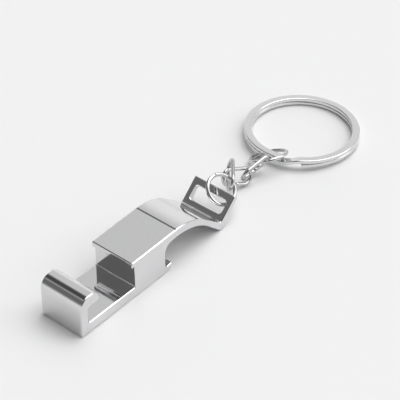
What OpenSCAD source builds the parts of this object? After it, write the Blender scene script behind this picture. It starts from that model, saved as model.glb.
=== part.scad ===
// Keychain bottle opener with a phone rest: one cast opener body, a jump ring,
// three chain links, a second jump ring and a two-turn split ring.
// Frame: origin at the middle of the base's flat underside, +X from the lip
// towards the ring tab, +Y across the body, +Z up. Millimetres.

/* [Body] */
// Width of the cast body across Y
body_w = 13; // [11:0.5:16]
// Thickness of the base bar
base_t = 3; // [2.6:0.1:3.2]
// Height of the lip's top face
lip_h = 11.15; // [11.1:0.05:11.6]
// Reach of the lip's hook from its outer face
hook_reach = 6.25; // [6:0.05:6.6]
// Height of the rest's top at its front edge
top_h = 10.85; // [10.5:0.05:11.2]
// Clear height of the cap mouth under the arch
mouth_h = 8.67; // [8.2:0.01:8.8]
// Thickness of the ring tab at its free end
tab_t = 1.45; // [1.2:0.05:1.7]

/* [Rings and chain] */
// Wire diameter of the jump rings
jump_wire = 1.05; // [0.9:0.05:1.1]
// Outside diameter of the front jump ring
front_ring_d = 8.85; // [8.8:0.05:8.95]
// Outside diameter of the rear jump ring
rear_ring_d = 10.55; // [10.5:0.05:10.6]
// Wire diameter of the chain links
link_wire = 1; // [0.9:0.05:1.05]
// Outside length of a chain link
link_len = 10.1; // [10.05:0.05:10.2]
// Outside width of a chain link
link_w = 5.1; // [5.05:0.05:5.2]
// Outside diameter of the split ring
split_d = 30.5; // [30.4:0.1:30.6]
// Radial width of the split ring's flat wire
split_wire_w = 2; // [1.8:0.05:2.05]
// Thickness of one turn of the split ring
split_wire_t = 1; // [0.9:0.05:1]

/* [Hidden] */
$fn = 48;
ARC_STEP = 9;

// Base bar: the lip's outer face is at x = -base_len / 2.
base_len = 32.4;
lip_x = -base_len / 2;
lip_t = 2.3;
hook_low_z = 8.05;
dome_r = 2.9;
nose_r = 2.4;

// Block that carries the rest; its flange stands 1 mm proud of the front.
block_x = lip_x + 18.6;
flange_x = block_x - 1;
flange_t = 1.5;
top_rise = 0.35;

// Cap mouth, with the claw at the end of the base.
mouth_x = lip_x + 29.5;
claw_tip = [lip_x + 32.4, 2.15];
claw_root_z = 1.65;
claw_under_x = lip_x + 30.9;

// Tail: it falls from the rest at tail_slope, turns at the bend and rises as the tab.
tail_slope = 43.2;
top_slope = 39.6;
bend_r = 1.6;
bend_x = lip_x + 50.6;
valley = [lip_x + 50.2, 2.34];
tab_slope = 43.6;
tab_len = 7.55;
tab_dir = [cos(tab_slope), sin(tab_slope)];
tab_in = [sin(tab_slope), -cos(tab_slope)];
tab_front = valley + tab_len * tab_dir;
tab_back = tab_front + tab_t * tab_in;

// Where the tail's underside and the tab's back would meet if the bend were sharp.
bend_c = [bend_x, bend_r];
back_gap = tab_back - bend_c;
back_slope = atan2(back_gap[1], back_gap[0]) + asin(bend_r / norm(back_gap));
bend_turn = (tail_slope + back_slope) / 2;
bend_lean = (back_slope - tail_slope) / 2;
bend_tip = bend_c + bend_r / cos(bend_turn) * [sin(bend_lean), -cos(bend_lean)];

// Corners on the long arcs, where the straight runs would meet.
arch_tip = [bend_tip[0] - (mouth_h - bend_tip[1]) / tan(tail_slope), mouth_h];
hump_tip = [valley[0] - (top_h + top_rise - valley[1]) / tan(top_slope), top_h + top_rise];

// Window in the tab, measured up the tab's face from the valley.
window_w = 10.1;
window_low = 1.7;
window_high = 5.55;
window_r = 1;

// Cuts in the wire: the jump rings' openings in degrees and the links' seam in millimetres.
front_cut = 3;
rear_cut = 8;
seam = 0.1;

// Where each piece of the chain lies at rest: [middle], [turns about X, Y and Z].
front_ring_pose = [[39.9, -1.65, 6.85], [6.5, -44, 74.5]];
link_poses = [
    [[45.65, 0.15, 7.1], [106.5, -5, 40.5]],
    [[49.3, 0.95, 3.8], [71, 20.5, -16.5]],
    [[55.45, -0.1, 3.6], [114.5, -13, -8.5]]
];
rear_ring_pose = [[62, 0.85, 2.75], [15.5, -23.5, -144.5]];

// Split ring: it rests on its far side and on the rear jump ring's wire.
split_x = 77.3;
split_y = 1.85;
split_tilt = 2.5;
split_rest_side = 15;
split_low_z = 0.02;
split_z = split_low_z + (split_d / 2) * sin(split_tilt) + split_wire_t / 2;
coil_start = -143;
coil_jog = 20;
coil_gap = 0.06;
COIL_STEP = 5;
wire_edge = 0.25;
WIRE_SECTION = [for (sx = [[-1, -1], [1, -1], [1, 1], [-1, 1]]) each
    (sx[0] * sx[1] > 0
        ? [[sx[0] * split_wire_w / 2, sx[1] * (split_wire_t / 2 - wire_edge)],
           [sx[0] * (split_wire_w / 2 - wire_edge), sx[1] * split_wire_t / 2]]
        : [[sx[0] * (split_wire_w / 2 - wire_edge), sx[1] * split_wire_t / 2],
           [sx[0] * split_wire_w / 2, sx[1] * (split_wire_t / 2 - wire_edge)]])];

// Outline of the body from the side: [x, z, corner radius], in order round the shape.
OUTLINE = [
    [lip_x, 0, 0.4],
    [claw_under_x, 0, 3.1],
    [claw_tip[0], claw_tip[1], 0.4],
    [mouth_x, claw_root_z, 0.7],
    [mouth_x, mouth_h, 2.6],
    [arch_tip[0], arch_tip[1], 17],
    [bend_tip[0], bend_tip[1], bend_r],
    [tab_back[0], tab_back[1], 0.55],
    [tab_front[0], tab_front[1], 0.45],
    [valley[0], valley[1], 0.6],
    [hump_tip[0], hump_tip[1], 15],
    [flange_x, top_h, 0.35],
    [flange_x, top_h - flange_t, 0.25],
    [block_x, top_h - flange_t, 0.3],
    [block_x, base_t, 0.3],
    [lip_x + lip_t, base_t, 0.5],
    [lip_x + lip_t, hook_low_z, 0.9],
    [lip_x + hook_reach, hook_low_z, 0.65],
    [lip_x + hook_reach, lip_h, nose_r],
    [lip_x, lip_h, dome_r]
];

function unit(v) = v / norm(v);

// Points along the round at corner b, between its neighbours a and c.
function round_corner(a, b, c) =
    let (
        tip = [b[0], b[1]],
        u = unit([a[0], a[1]] - tip),
        v = unit([c[0], c[1]] - tip),
        half = acos(u * v) / 2,
        centre = tip + b[2] / sin(half) * unit(u + v),
        from = tip + b[2] / tan(half) * u - centre,
        to = tip + b[2] / tan(half) * v - centre,
        start = atan2(from[1], from[0]),
        turn = (atan2(to[1], to[0]) - start + 540) % 360 - 180,
        steps = max(2, ceil(abs(turn) / ARC_STEP))
    )
    [for (i = [0 : steps])
        let (angle = start + turn * i / steps)
        centre + b[2] * [cos(angle), sin(angle)]];

function rounded(corners) =
    let (n = len(corners))
    [for (i = [0 : n - 1])
        each round_corner(corners[(i + n - 1) % n], corners[i], corners[(i + 1) % n])];

// Rounded slot of width w, centred on x, from y = low to y = high.
module slot_2d(w, low, high, r) {
    polygon(rounded([[-w / 2, low, r], [w / 2, low, r], [w / 2, high, r], [-w / 2, high, r]]));
}

// Cuts the window square to the tab's front face.
module tab_window() {
    translate([valley[0], 0, valley[1]])
        rotate([0, -tab_slope, 0])
            rotate([0, 0, 90])
                translate([0, 0, -5])
                    linear_extrude(6)
                        mirror([0, 1]) slot_2d(window_w, window_low, window_high, window_r);
}

module opener_body() {
    color("gainsboro")
        difference() {
            translate([0, body_w / 2, 0])
                rotate([90, 0, 0])
                    linear_extrude(body_w) polygon(rounded(OUTLINE));
            tab_window();
        }
}

// Moves a ring or link, drawn flat about the origin with its long side on X, to its place.
module place(pose) {
    translate(pose[0]) rotate(pose[1]) children();
}

// Ring of round wire with a cut of the given angle, centred on +X.
module wire_ring(outside_d, wire_d, cut_angle) {
    rotate([0, 0, cut_angle / 2])
        rotate_extrude(angle = 360 - cut_angle)
            translate([(outside_d - wire_d) / 2, 0]) circle(d = wire_d, $fn = 24);
}

// Oval link of round wire, with its seam in the middle of one long side.
module wire_link() {
    turn_r = (link_w - link_wire) / 2;
    half_run = (link_len - link_w) / 2;
    for (side = [-1, 1])
        translate([side * half_run, 0, 0])
            rotate([0, 0, -90 * side])
                rotate_extrude(angle = 180)
                    translate([turn_r, 0]) circle(d = link_wire, $fn = 24);
    translate([-half_run, turn_r, 0])
        rotate([0, 90, 0]) cylinder(d = link_wire, h = 2 * half_run, $fn = 24);
    for (side = [-1, 1])
        translate([side * (half_run + seam / 2) / 2, -turn_r, 0])
            rotate([0, 90, 0]) cylinder(d = link_wire, h = half_run - seam / 2, center = true, $fn = 24);
}

module front_jump_ring() {
    color("silver") place(front_ring_pose) wire_ring(front_ring_d, jump_wire, front_cut);
}

module rear_jump_ring() {
    color("silver") place(rear_ring_pose) wire_ring(rear_ring_d, jump_wire, rear_cut);
}

module chain_link(pose) {
    color("lightgray") place(pose) wire_link();
}

// Height of the flat wire's middle, after turning through angle from its lower end.
function coil_rise(angle) =
    let (t = min(1, max(0, (angle - 360 + coil_jog) / coil_jog)))
    (split_wire_t + coil_gap) * t * t * (3 - 2 * t);

// Corners of the flat wire's section at one angle round the ring.
function coil_section(angle) =
    [for (corner = WIRE_SECTION)
        let (radius = (split_d - split_wire_w) / 2 + corner[0])
        [radius * cos(angle), radius * sin(angle), coil_rise(angle) + corner[1]]];

// Two turns of flat wire that step up by one thickness between their ends.
module flat_coil() {
    sides = len(WIRE_SECTION);
    rings = round((720 - coil_jog) / COIL_STEP);
    points = [for (i = [0 : rings]) each coil_section(i * COIL_STEP)];
    walls = [for (i = [0 : rings - 1]) for (j = [0 : sides - 1])
        let (k = (j + 1) % sides)
        each [[i * sides + j, i * sides + k, (i + 1) * sides + k],
              [i * sides + j, (i + 1) * sides + k, (i + 1) * sides + j]]];
    first_end = [for (j = [sides - 1 : -1 : 0]) j];
    last_end = [for (j = [0 : sides - 1]) rings * sides + j];
    polyhedron(points, concat(walls, [first_end, last_end]));
}

module split_ring() {
    color("silver")
        translate([split_x, split_y, split_z])
            rotate([0, 0, split_rest_side])
                rotate([0, split_tilt, 0])
                    rotate([0, 0, coil_start - split_rest_side]) flat_coil();
}

opener_body();
front_jump_ring();
chain_link(link_poses[0]);  // chain_link_1
chain_link(link_poses[1]);  // chain_link_2
chain_link(link_poses[2]);  // chain_link_3
rear_jump_ring();
split_ring();
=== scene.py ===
"""Looks of a chrome keychain bottle opener: bevelled cast body, wire rings and links, split ring."""
import math

import bpy
import bmesh
from mathutils import Euler, Matrix, Vector


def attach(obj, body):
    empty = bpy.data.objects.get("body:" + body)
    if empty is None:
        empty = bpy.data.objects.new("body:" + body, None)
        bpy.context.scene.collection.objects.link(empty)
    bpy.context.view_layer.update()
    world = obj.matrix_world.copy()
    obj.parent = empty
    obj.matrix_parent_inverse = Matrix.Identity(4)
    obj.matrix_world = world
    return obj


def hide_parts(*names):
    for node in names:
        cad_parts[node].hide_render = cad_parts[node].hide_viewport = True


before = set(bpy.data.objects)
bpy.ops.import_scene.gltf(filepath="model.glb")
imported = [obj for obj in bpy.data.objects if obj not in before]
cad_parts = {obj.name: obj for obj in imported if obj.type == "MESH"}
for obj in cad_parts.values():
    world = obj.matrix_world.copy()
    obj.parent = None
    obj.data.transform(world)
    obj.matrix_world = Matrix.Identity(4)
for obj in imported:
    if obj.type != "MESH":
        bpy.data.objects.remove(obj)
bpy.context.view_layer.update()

MM = 0.001

# Cast body, in millimetres: the outline's own x starts at the lip's outer face.
BODY_W = 13.0
LIP_X = -16.2
LIP_T = 2.3
LIP_H = 11.15
DOME_R = 2.9
NOSE_R = 2.4
HOOK_REACH = 6.25
HOOK_Z = 8.05
BASE_T = 3.0
BLOCK_X = 18.6
FLANGE_X = 17.6
FLANGE_T = 1.5
REST_H = 10.85
HUMP_H = 11.2
HUMP_R = 15
MOUTH_X = 29.5
MOUTH_H = 8.67
MOUTH_R = 2.6
ARCH_R = 17
CLAW_UNDER_X = 30.9
CLAW_UNDER_R = 3.1
CLAW_TIP = (32.4, 2.15)
CLAW_TOP_Z = 1.65
TAIL_SLOPE = math.radians(43.2)
TOP_SLOPE = math.radians(39.6)
BEND_CENTRE = Vector((50.6, 1.6))
BEND_R = 1.6
VALLEY = Vector((50.2, 2.34))
TAB_SLOPE = math.radians(43.6)
TAB_LENGTH = 7.55
TAB_THICK = 1.45
WINDOW_W = 10.1
WINDOW_LOW = 1.7
WINDOW_HIGH = 5.55
WINDOW_R = 1.0
WINDOW_ROUND = 0.3
EDGE_ROUND = 0.4
EDGE_STEPS = 5
FLARE_STEPS = 6
CREASE_AT = 33.5
CREASE_W = 0.3
CREASE_DEEP = 0.2
CREASE_INSET = 0.25
CREASE_ABOVE = 0.3

# Rings and links, in millimetres and degrees: middle, then turns about X, Y and Z.
JUMP_WIRE = 1.05
LINK_WIRE = 1.0
LINK_LENGTH = 10.1
LINK_W = 5.1
LINK_SEAM = 0.07
FRONT_RING = {"d": 8.85, "cut": 3.0, "at": (39.9, -1.65, 6.85), "turn": (6.5, -44.0, 74.5)}
REAR_RING = {"d": 10.55, "cut": 8.0, "at": (62.0, 0.85, 2.75), "turn": (15.5, -23.5, -144.5)}
LINKS = {
    "chain_link_1": {"at": (45.65, 0.15, 7.1), "turn": (106.5, -5.0, 40.5), "body": "link_1"},
    "chain_link_2": {"at": (49.3, 0.95, 3.8), "turn": (71.0, 20.5, -16.5), "body": "link_2"},
    "chain_link_3": {"at": (55.45, -0.1, 3.6), "turn": (114.5, -13.0, -8.5), "body": "link_3"},
}
SPLIT_D = 30.5
SPLIT_WIRE_W = 2.0
SPLIT_WIRE_T = 1.0
SPLIT_EDGE = 0.25
SPLIT_GAP = 0.06
SPLIT_START = -143.0
SPLIT_JOG = 20.0
SPLIT_REST_SIDE = 15.0
SPLIT_TILT = 2.5
SPLIT_AT = (77.3, 1.85)
SPLIT_LOW_Z = 0.02

# Camera, in millimetres.
CAMERA_AT = Vector((-234.10, -225.58, 296.37))
CAMERA_FORWARD = Vector((0.58909, 0.49633, -0.63767))
CAMERA_LENS = 165.8

# Light: each patch of sky has an azimuth and elevation, then how far from there it is full and ends.
LAMP = (-15, 72, 8, 34)
SIDE_LAMP = (-47, 30, 6, 18)
FRONT_GLOW = (40, 6, 16, 33)
LEFT_DARK = (125, 45, 34, 49)
DARK_BAND = (95, 58, 11, 22)
STREAK = (128, 50, 3, 9)
NEAR_DARK = (220, 32, 22, 42)
TENT_LEVEL = 0.72
LEFT_LEVEL = 0.17
BAND_SHARE = 0.45
NEAR_SHARE = 0.14
STREAK_LEVEL = 0.2
FRONT_LEVEL = 0.28
LAMP_LEVEL = 3.2
SIDE_LEVEL = 2.2
GROUND_LEVEL = 0.8

# Plating: noise scales, and the stretch and turn of the two sets of hairline scratches.
CLOUD_SCALE = 260
SPECK_SCALE = 5200
HAIRLINES_A = ((300, 9000, 4000), 14)
HAIRLINES_B = ((8000, 420, 5000), -21)

# Half the side of the table, in millimetres.
TABLE_HALF = 3000.0


def corner_points(before, corner, after, radius, steps):
    """Points along the round of a radius at one corner of an outline."""
    u = (before - corner).normalized()
    v = (after - corner).normalized()
    half = u.angle(v) / 2
    centre = corner + (u + v).normalized() * (radius / math.sin(half))
    start = corner + u * (radius / math.tan(half)) - centre
    end = corner + v * (radius / math.tan(half)) - centre
    first = math.atan2(start.y, start.x)
    turn = (math.atan2(end.y, end.x) - first + 3 * math.pi) % (2 * math.pi) - math.pi
    points = []
    for i in range(steps + 1):
        angle = first + turn * i / steps
        points.append(centre + radius * Vector((math.cos(angle), math.sin(angle))))
    return points


def inset_outline(corners, inset):
    """Outline of [x, z, radius, steps] corners, moved inwards by inset, with its rounds kept tangent."""
    count = len(corners)
    places = [Vector(c[:2]) for c in corners]
    moved = []
    radii = []
    for i in range(count):
        a = (places[i] - places[i - 1]).normalized()
        b = (places[(i + 1) % count] - places[i]).normalized()
        inward_a = Vector((-a.y, a.x))
        inward_b = Vector((-b.y, b.x))
        moved.append(places[i] + inset * (inward_a + inward_b) / (1 + inward_a.dot(inward_b)))
        bends_out = a.x * b.y - a.y * b.x > 0
        radii.append(max(0.02, corners[i][2] - inset) if bends_out else corners[i][2] + inset)
    points = []
    for i in range(count):
        steps = corners[i][3]
        points += corner_points(moved[i - 1], moved[i], moved[(i + 1) % count], radii[i], steps)
    return points


def body_corners():
    """Corners of the cast body's side outline: x, z, radius and steps, in order round the shape."""
    tab_dir = Vector((math.cos(TAB_SLOPE), math.sin(TAB_SLOPE)))
    tab_in = Vector((math.sin(TAB_SLOPE), -math.cos(TAB_SLOPE)))
    tab_front = VALLEY + TAB_LENGTH * tab_dir
    tab_back = tab_front + TAB_THICK * tab_in
    gap = tab_back - BEND_CENTRE
    back_slope = math.atan2(gap.y, gap.x) + math.asin(BEND_R / gap.length)
    turn = (TAIL_SLOPE + back_slope) / 2
    lean = (back_slope - TAIL_SLOPE) / 2
    bend_tip = BEND_CENTRE + BEND_R / math.cos(turn) * Vector((math.sin(lean), -math.cos(lean)))
    arch_x = bend_tip.x - (MOUTH_H - bend_tip.y) / math.tan(TAIL_SLOPE)
    hump_x = VALLEY.x - (HUMP_H - VALLEY.y) / math.tan(TOP_SLOPE)
    flange_low = REST_H - FLANGE_T
    return [
        (0, 0, 0.4, 6),
        (CLAW_UNDER_X, 0, CLAW_UNDER_R, 14),
        (*CLAW_TIP, 0.4, 8),
        (MOUTH_X, CLAW_TOP_Z, 0.7, 8),
        (MOUTH_X, MOUTH_H, MOUTH_R, 16),
        (arch_x, MOUTH_H, ARCH_R, 20),
        (bend_tip.x, bend_tip.y, BEND_R, 28),
        (tab_back.x, tab_back.y, 0.55, 8),
        (tab_front.x, tab_front.y, 0.45, 8),
        (VALLEY.x, VALLEY.y, 0.6, 10),
        (hump_x, HUMP_H, HUMP_R, 24),
        (FLANGE_X, REST_H, 0.35, 6),
        (FLANGE_X, flange_low, 0.25, 6),
        (BLOCK_X, flange_low, 0.3, 6),
        (BLOCK_X, BASE_T, 0.3, 6),
        (LIP_T, BASE_T, 0.5, 6),
        (LIP_T, HOOK_Z, 0.9, 10),
        (HOOK_REACH, HOOK_Z, 0.65, 10),
        (HOOK_REACH, LIP_H, NOSE_R, 24),
        (0, LIP_H, DOME_R, 28),
    ]


def back_depth(v):
    """Depth of the tab's back face behind its front face, at v up the tab."""
    tab_dir = Vector((math.cos(TAB_SLOPE), math.sin(TAB_SLOPE)))
    tab_in = Vector((math.sin(TAB_SLOPE), -math.cos(TAB_SLOPE)))
    tab_back = VALLEY + TAB_LENGTH * tab_dir + TAB_THICK * tab_in
    gap = tab_back - BEND_CENTRE
    back_slope = math.atan2(gap.y, gap.x) + math.asin(BEND_R / gap.length)
    return TAB_THICK + (TAB_LENGTH - v) * math.tan(back_slope - TAB_SLOPE)


def mesh_object(name, points, faces):
    """Mesh object from points in millimetres."""
    mesh = bpy.data.meshes.new(name)
    mesh.from_pydata([Vector(p) * MM for p in points], [], faces)
    mesh.validate()
    bm = bmesh.new()
    bm.from_mesh(mesh)
    bmesh.ops.recalc_face_normals(bm, faces=bm.faces)
    bm.to_mesh(mesh)
    bm.free()
    obj = bpy.data.objects.new(name, mesh)
    bpy.context.scene.collection.objects.link(obj)
    return obj


def skin(rings, closed):
    """Points and faces of a tube through rings of equal length, capped unless it is closed."""
    sides = len(rings[0])
    points = [p for ring in rings for p in ring]
    faces = []
    spans = len(rings) if closed else len(rings) - 1
    for i in range(spans):
        here = i * sides
        there = (i + 1) % len(rings) * sides
        for j in range(sides):
            k = (j + 1) % sides
            faces.append((here + j, here + k, there + k, there + j))
    if not closed:
        faces.append(tuple(range(sides)))
        faces.append(tuple((len(rings) - 1) * sides + j for j in range(sides)))
    return points, faces


def edge_profile(steps):
    """Inset and depth of a rounded edge, from the face to the side, as shares of its radius."""
    pairs = []
    for i in range(steps + 1):
        angle = math.radians(90) * i / steps
        pairs.append((1 - math.sin(angle), 1 - math.cos(angle)))
    return pairs


def outline_solid():
    """The cast body without its window: its outline drawn across Y, with rounded edges."""
    corners = body_corners()
    rings = []
    for inset, depth in edge_profile(EDGE_STEPS):
        outline = inset_outline(corners, inset * EDGE_ROUND)
        rings.append([(p.x + LIP_X, depth * EDGE_ROUND - BODY_W / 2, p.y) for p in outline])
    for inset, depth in reversed(edge_profile(EDGE_STEPS)):
        outline = inset_outline(corners, inset * EDGE_ROUND)
        rings.append([(p.x + LIP_X, BODY_W / 2 - depth * EDGE_ROUND, p.y) for p in outline])
    points, faces = skin(rings, closed=False)
    return mesh_object("cast_body", points, faces)


def window_cutter():
    """Solid that cuts the tab's window and rounds the window's edges, front and back."""
    middle = (WINDOW_LOW + WINDOW_HIGH) / 2
    half_w = WINDOW_W / 2
    half_h = (WINDOW_HIGH - WINDOW_LOW) / 2
    corners = [
        (-half_w, -half_h, WINDOW_R, 10),
        (half_w, -half_h, WINDOW_R, 10),
        (half_w, half_h, WINDOW_R, 10),
        (-half_w, half_h, WINDOW_R, 10),
    ]
    flare = edge_profile(FLARE_STEPS)
    layers = [(0, -1.0, WINDOW_ROUND), (0, -0.01, WINDOW_ROUND)]
    layers += [(0, depth * WINDOW_ROUND, inset * WINDOW_ROUND) for inset, depth in flare[1:]]
    layers += [(1, -depth * WINDOW_ROUND, inset * WINDOW_ROUND) for inset, depth in reversed(flare[1:])]
    layers += [(1, 0.01, WINDOW_ROUND), (1, 2.5, WINDOW_ROUND)]
    rings = []
    for behind, depth, grow in layers:
        ring = []
        for p in inset_outline(corners, -grow):
            v = p.y + middle
            w = depth + behind * back_depth(v)
            x = VALLEY.x + v * math.cos(TAB_SLOPE) + w * math.sin(TAB_SLOPE)
            z = VALLEY.y + v * math.sin(TAB_SLOPE) - w * math.cos(TAB_SLOPE)
            ring.append((x + LIP_X, p.x, z))
        rings.append(ring)
    points, faces = skin(rings, closed=False)
    return mesh_object("window_cutter", points, faces)


def crease_cutter():
    """Thin wedge for the line across the top, where the flat rest meets the arched tail."""
    hump_x = VALLEY.x - (HUMP_H - VALLEY.y) / math.tan(TOP_SLOPE)
    rise = math.atan2(HUMP_H - REST_H, hump_x - FLANGE_X)
    setback = HUMP_R * math.tan((TOP_SLOPE + rise) / 2)
    centre = Vector((hump_x, HUMP_H)) - setback * Vector((math.cos(rise), math.sin(rise)))
    centre += HUMP_R * Vector((math.sin(rise), -math.cos(rise)))
    across = CREASE_AT - centre.x
    surface = Vector((CREASE_AT, centre.y + math.sqrt(HUMP_R ** 2 - across ** 2)))
    out = (surface - centre).normalized()
    along = Vector((out.y, -out.x))
    end = BODY_W / 2 - CREASE_INSET
    section = [
        surface + out * CREASE_ABOVE - along * CREASE_W * 2,
        surface - out * CREASE_DEEP,
        surface + out * CREASE_ABOVE + along * CREASE_W * 2,
    ]
    rings = [[(p.x + LIP_X, y, p.y) for p in section] for y in (-end, end)]
    points, faces = skin(rings, closed=False)
    return mesh_object("crease_cutter", points, faces)


def cut(obj, cutter):
    """Takes cutter's shape out of obj and applies the result."""
    modifier = obj.modifiers.new("cut", "BOOLEAN")
    modifier.operation = "DIFFERENCE"
    modifier.solver = "EXACT"
    modifier.object = cutter
    graph = bpy.context.evaluated_depsgraph_get()
    result = bpy.data.meshes.new_from_object(obj.evaluated_get(graph))
    obj.modifiers.clear()
    obj.data = result
    bpy.data.objects.remove(cutter)


def smooth(obj, sharp_angle=32):
    """Smooth shading with sharp edges past an angle, and flat faces that stay flat."""
    mesh = obj.data
    mesh.polygons.foreach_set("use_smooth", [True] * len(mesh.polygons))
    mesh.set_sharp_from_angle(angle=math.radians(sharp_angle))
    weighted = obj.modifiers.new("weighted normals", "WEIGHTED_NORMAL")
    weighted.weight = 100
    weighted.keep_sharp = True


def place(pose):
    """Matrix that carries a ring or link, drawn flat about the origin, to its pose."""
    turn = Euler([math.radians(a) for a in pose["turn"]], "XYZ").to_matrix().to_4x4()
    return Matrix.Translation(Vector(pose["at"])) @ turn


def wire_rings(path, wire_d, sides=20, chamfer=0.12):
    """Rings of round wire along a path of (middle, outward direction), with its cut ends chamfered."""
    rings = []
    for middle, outward in path:
        ring = []
        for j in range(sides):
            angle = 2 * math.pi * j / sides
            offset = outward * math.cos(angle) + Vector((0, 0, math.sin(angle)))
            ring.append(middle + offset * wire_d / 2)
        rings.append(ring)
    for end, middle in ((0, path[0][0]), (-1, path[-1][0])):
        small = [middle + (p - middle) * (1 - chamfer / wire_d * 2) for p in rings[end]]
        beyond = (middle - path[1 if end == 0 else -2][0]).normalized() * chamfer
        cap = [p + beyond for p in small]
        rings.insert(0, cap) if end == 0 else rings.append(cap)
    return rings


def ring_path(outside_d, wire_d, cut_angle, steps=96):
    """Middle line of a jump ring cut on its +X side."""
    radius = (outside_d - wire_d) / 2
    path = []
    for i in range(steps + 1):
        angle = math.radians(cut_angle / 2 + (360 - cut_angle) * i / steps)
        outward = Vector((math.cos(angle), math.sin(angle), 0))
        path.append((outward * radius, outward))
    return path


def link_path(arc_steps=28, run_steps=4):
    """Middle line of an oval link, with its seam in the middle of its -Y side."""
    radius = (LINK_W - LINK_WIRE) / 2
    half_run = (LINK_LENGTH - LINK_W) / 2
    path = []
    for i in range(run_steps + 1):
        x = LINK_SEAM / 2 + (half_run - LINK_SEAM / 2) * i / run_steps
        path.append((Vector((x, -radius, 0)), Vector((0, -1, 0))))
    for side in (1, -1):
        for i in range(arc_steps + 1):
            angle = math.radians(-90 + 180 * i / arc_steps if side > 0 else 90 + 180 * i / arc_steps)
            outward = Vector((math.cos(angle), math.sin(angle), 0))
            path.append((Vector((side * half_run, 0, 0)) + outward * radius, outward))
    for i in range(run_steps + 1):
        x = -half_run + (half_run - LINK_SEAM / 2) * i / run_steps
        path.append((Vector((x, -radius, 0)), Vector((0, -1, 0))))
    return remove_doubles(path)


def remove_doubles(path, near=0.0005):
    """The path without points that repeat the one before."""
    kept = [path[0]]
    for step in path[1:]:
        if (step[0] - kept[-1][0]).length > near:
            kept.append(step)
    return kept


def wire_piece(name, path, wire_d, pose):
    """A bent piece of round wire at its pose."""
    move = place(pose)
    rings = [[move @ p for p in ring] for ring in wire_rings(path, wire_d)]
    points, faces = skin(rings, closed=False)
    obj = mesh_object(name, points, faces)
    smooth(obj, 50)
    return obj


def flat_wire_section():
    """Section of the split ring's flat wire, with rounded corners."""
    half_w = SPLIT_WIRE_W / 2
    half_t = SPLIT_WIRE_T / 2
    corners = [
        (-half_w, -half_t, SPLIT_EDGE, 5),
        (half_w, -half_t, SPLIT_EDGE, 5),
        (half_w, half_t, SPLIT_EDGE, 5),
        (-half_w, half_t, SPLIT_EDGE, 5),
    ]
    return inset_outline(corners, 0)


def coil_rise(angle):
    """Height of the flat wire's middle after turning through angle from its lower end."""
    share = min(1, max(0, (angle - 360 + SPLIT_JOG) / SPLIT_JOG))
    return (SPLIT_WIRE_T + SPLIT_GAP) * share * share * (3 - 2 * share)


def split_ring():
    """Two turns of flat wire, tilted on the ring that it lies on."""
    tilt = math.radians(SPLIT_TILT)
    low = SPLIT_LOW_Z + SPLIT_D / 2 * math.sin(tilt) + SPLIT_WIRE_T / 2
    move = Matrix.Translation(Vector((SPLIT_AT[0], SPLIT_AT[1], low)))
    move = move @ Matrix.Rotation(math.radians(SPLIT_REST_SIDE), 4, "Z")
    move = move @ Matrix.Rotation(tilt, 4, "Y")
    move = move @ Matrix.Rotation(math.radians(SPLIT_START - SPLIT_REST_SIDE), 4, "Z")
    section = flat_wire_section()
    rings = []
    steps = round((720 - SPLIT_JOG) / 2.5)
    for i in range(steps + 1):
        angle = (720 - SPLIT_JOG) * i / steps
        turn = math.radians(angle)
        ring = []
        for p in section:
            radius = (SPLIT_D - SPLIT_WIRE_W) / 2 + p.x
            point = Vector((radius * math.cos(turn), radius * math.sin(turn), coil_rise(angle) + p.y))
            ring.append(move @ point)
        rings.append(ring)
    points, faces = skin(rings, closed=False)
    obj = mesh_object("split_ring_wire", points, faces)
    smooth(obj, 40)
    return obj


def new_material(name):
    """Empty node material with a shader and an output."""
    material = bpy.data.materials.new(name)
    material.use_nodes = True
    nodes = material.node_tree.nodes
    nodes.clear()
    output = nodes.new("ShaderNodeOutputMaterial")
    shader = nodes.new("ShaderNodeBsdfPrincipled")
    material.node_tree.links.new(shader.outputs["BSDF"], output.inputs["Surface"])
    return material, shader


def noise(tree, vector, scale, detail=3.0, roughness=0.5):
    """Noise texture on a vector."""
    node = tree.nodes.new("ShaderNodeTexNoise")
    node.inputs["Scale"].default_value = scale
    node.inputs["Detail"].default_value = detail
    node.inputs["Roughness"].default_value = roughness
    tree.links.new(vector, node.inputs["Vector"])
    return node.outputs["Fac"]


def stretched(tree, vector, scale, turn):
    """Vector turned about Z and stretched, so noise on it draws fine lines."""
    node = tree.nodes.new("ShaderNodeMapping")
    node.inputs["Scale"].default_value = scale
    node.inputs["Rotation"].default_value = (0, 0, math.radians(turn))
    tree.links.new(vector, node.inputs["Vector"])
    return node.outputs["Vector"]


def ramp(tree, value, low, high, out_low, out_high):
    """Value mapped from low..high to out_low..out_high, and kept inside."""
    node = tree.nodes.new("ShaderNodeMapRange")
    node.inputs["From Min"].default_value = low
    node.inputs["From Max"].default_value = high
    node.inputs["To Min"].default_value = out_low
    node.inputs["To Max"].default_value = out_high
    tree.links.new(value, node.inputs["Value"])
    return node.outputs["Result"]


def math_node(tree, operation, a, b):
    """Math on a socket and a socket or number."""
    node = tree.nodes.new("ShaderNodeMath")
    node.operation = operation
    tree.links.new(a, node.inputs[0])
    if isinstance(b, (int, float)):
        node.inputs[1].default_value = b
    else:
        tree.links.new(b, node.inputs[1])
    return node.outputs[0]


def mixed_colour(tree, value, dark, light):
    """Colour between dark and light by value."""
    node = tree.nodes.new("ShaderNodeMix")
    node.data_type = "RGBA"
    node.inputs["A"].default_value = (*dark, 1)
    node.inputs["B"].default_value = (*light, 1)
    tree.links.new(value, node.inputs["Factor"])
    return node.outputs["Result"]


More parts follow.
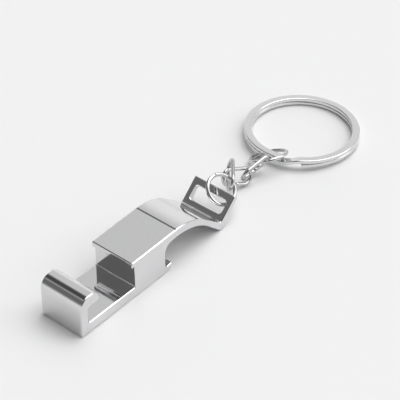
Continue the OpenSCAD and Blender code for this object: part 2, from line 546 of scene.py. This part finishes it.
def chrome(name, tint, waves, wave_height, gloss):
    """Bright plating: faint waves from the polishing wheel, hairline scratches and cloudy patches."""
    material, shader = new_material(name)
    tree = material.node_tree
    coordinates = tree.nodes.new("ShaderNodeTexCoord").outputs["Object"]
    clouds = noise(tree, coordinates, CLOUD_SCALE, 4)
    specks = noise(tree, coordinates, SPECK_SCALE, 2, 0.7)
    lines_a = noise(tree, stretched(tree, coordinates, *HAIRLINES_A), 1.0, 2)
    lines_b = noise(tree, stretched(tree, coordinates, *HAIRLINES_B), 1.0, 2)
    scratch_a = ramp(tree, lines_a, 0.69, 0.76, 0, 1)
    scratch_b = ramp(tree, lines_b, 0.71, 0.78, 0, 1)
    scratches = math_node(tree, "MAXIMUM", scratch_a, scratch_b)
    rough = ramp(tree, clouds, 0.3, 0.75, gloss, gloss + 0.07)
    rough = math_node(tree, "ADD", rough, math_node(tree, "MULTIPLY", scratches, 0.1))
    tree.links.new(rough, shader.inputs["Roughness"])
    dark = tuple(c * 0.93 for c in tint)
    colour = mixed_colour(tree, ramp(tree, specks, 0.35, 0.6, 0, 1), dark, tint)
    tree.links.new(colour, shader.inputs["Base Color"])
    shader.inputs["Metallic"].default_value = 1.0
    wave = noise(tree, coordinates, waves, 2)
    height = math_node(tree, "SUBTRACT", wave, math_node(tree, "MULTIPLY", scratches, 0.05))
    bump = tree.nodes.new("ShaderNodeBump")
    bump.inputs["Strength"].default_value = 1.0
    bump.inputs["Distance"].default_value = wave_height * MM
    tree.links.new(height, bump.inputs["Height"])
    tree.links.new(bump.outputs["Normal"], shader.inputs["Normal"])
    return material


def table_material():
    """Pale smooth table with a very faint grain."""
    material, shader = new_material("pale_table")
    tree = material.node_tree
    coordinates = tree.nodes.new("ShaderNodeTexCoord").outputs["Object"]
    grain = noise(tree, coordinates, 900, 3)
    colour = mixed_colour(tree, grain, (0.852, 0.852, 0.858), (0.868, 0.868, 0.872))
    tree.links.new(colour, shader.inputs["Base Color"])
    shader.inputs["Roughness"].default_value = 0.75
    shader.inputs["Specular IOR Level"].default_value = 0.15
    return material


def finish_piece(obj, material, body, node):
    """Gives a piece its material and ties it to the CAD part."""
    obj.data.materials.clear()
    obj.data.materials.append(material)
    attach(obj, body)
    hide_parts(node)


def build_body():
    """Cast opener body with its window and crease."""
    obj = outline_solid()
    cut(obj, window_cutter())
    cut(obj, crease_cutter())
    smooth(obj)
    material = chrome("cast_plating", (0.74, 0.74, 0.745), waves=420, wave_height=0.004, gloss=0.04)
    finish_piece(obj, material, "opener", "opener_body")


def build_jump_rings():
    """The two cut rings of round wire."""
    material = chrome("jump_ring_plating", (0.6, 0.6, 0.605), waves=900, wave_height=0.006, gloss=0.05)
    front = wire_piece("front_ring_wire", ring_path(FRONT_RING["d"], JUMP_WIRE, FRONT_RING["cut"]),
                       JUMP_WIRE, FRONT_RING)
    finish_piece(front, material, "front_ring", "front_jump_ring")
    rear = wire_piece("rear_ring_wire", ring_path(REAR_RING["d"], JUMP_WIRE, REAR_RING["cut"]),
                      JUMP_WIRE, REAR_RING)
    finish_piece(rear, material, "rear_ring", "rear_jump_ring")


def build_links():
    """The three oval chain links."""
    material = chrome("chain_plating", (0.57, 0.57, 0.575), waves=1100, wave_height=0.008, gloss=0.06)
    for node, pose in LINKS.items():
        obj = wire_piece(node + "_wire", link_path(), LINK_WIRE, pose)
        finish_piece(obj, material, pose["body"], node)


def build_split_ring():
    """The two-turn key ring."""
    material = chrome("split_ring_plating", (0.76, 0.76, 0.765), waves=500, wave_height=0.003, gloss=0.1)
    finish_piece(split_ring(), material, "key_ring", "split_ring")


def build_table():
    """Large pale table that the object lies on."""
    half = TABLE_HALF
    points = [(-half, -half, 0), (half, -half, 0), (half, half, 0), (-half, half, 0)]
    floor = mesh_object("table", points, [(0, 1, 2, 3)])
    floor.data.materials.append(table_material())


def lobe(tree, direction, towards, inner, outer):
    """1 within inner degrees of a direction, 0 past outer degrees."""
    node = tree.nodes.new("ShaderNodeVectorMath")
    node.operation = "DOT_PRODUCT"
    tree.links.new(direction, node.inputs[0])
    node.inputs[1].default_value = Vector(towards).normalized()
    low = math.cos(math.radians(outer))
    high = math.cos(math.radians(inner))
    return ramp(tree, node.outputs["Value"], low, high, 0, 1)


def heading(azimuth, elevation):
    """Unit vector from two angles in degrees."""
    a = math.radians(azimuth)
    e = math.radians(elevation)
    return (math.cos(e) * math.cos(a), math.cos(e) * math.sin(a), math.sin(e))


def patch(tree, direction, place):
    """1 inside a patch of sky, 0 outside it, with a soft edge."""
    azimuth, elevation, full, end = place
    return lobe(tree, direction, heading(azimuth, elevation), full, end)


def scaled(tree, level, mask, share):
    """Level cut to a share of itself where the mask is 1."""
    return math_node(tree, "MULTIPLY", level, ramp(tree, mask, 0, 1, 1.0, share))


def raised(tree, level, mask, amount):
    """Level with an amount added where the mask is 1."""
    return math_node(tree, "ADD", level, math_node(tree, "MULTIPLY", mask, amount))


def build_light():
    """Soft white tent: bright overhead, low at the right and ahead, dark at the left and near side."""
    world = bpy.data.worlds.new("tent")
    bpy.context.scene.world = world
    world.use_nodes = True
    tree = world.node_tree
    tree.nodes.clear()
    output = tree.nodes.new("ShaderNodeOutputWorld")
    background = tree.nodes.new("ShaderNodeBackground")
    tree.links.new(background.outputs["Background"], output.inputs["Surface"])
    direction = tree.nodes.new("ShaderNodeTexCoord").outputs["Generated"]
    left = patch(tree, direction, LEFT_DARK)
    ground = lobe(tree, direction, (0, 0, -1), 84, 92)
    level = ramp(tree, left, 0, 1, TENT_LEVEL, LEFT_LEVEL)
    level = scaled(tree, level, patch(tree, direction, DARK_BAND), BAND_SHARE)
    level = scaled(tree, level, patch(tree, direction, NEAR_DARK), NEAR_SHARE)
    level = raised(tree, level, patch(tree, direction, STREAK), STREAK_LEVEL)
    level = raised(tree, level, patch(tree, direction, FRONT_GLOW), FRONT_LEVEL)
    level = raised(tree, level, patch(tree, direction, LAMP), LAMP_LEVEL)
    level = raised(tree, level, patch(tree, direction, SIDE_LAMP), SIDE_LEVEL)
    level = scaled(tree, level, ground, 0.0)
    level = raised(tree, level, ground, GROUND_LEVEL)
    tree.links.new(level, background.inputs["Strength"])
    background.inputs["Color"].default_value = (1.0, 1.0, 1.0, 1.0)


def build_camera():
    """Camera high over the lip's near corner, looking along the body towards the key ring."""
    data = bpy.data.cameras.new("camera")
    data.lens = CAMERA_LENS
    data.sensor_width = 36.0
    data.clip_start = 0.01
    data.clip_end = 20.0
    camera = bpy.data.objects.new("camera", data)
    bpy.context.scene.collection.objects.link(camera)
    camera.location = CAMERA_AT * MM
    camera.rotation_euler = CAMERA_FORWARD.to_track_quat("-Z", "Y").to_euler()
    bpy.context.scene.camera = camera
    bpy.context.scene.view_settings.view_transform = "Standard"


build_body()
build_jump_rings()
build_links()
build_split_ring()
build_table()
build_light()
build_camera()
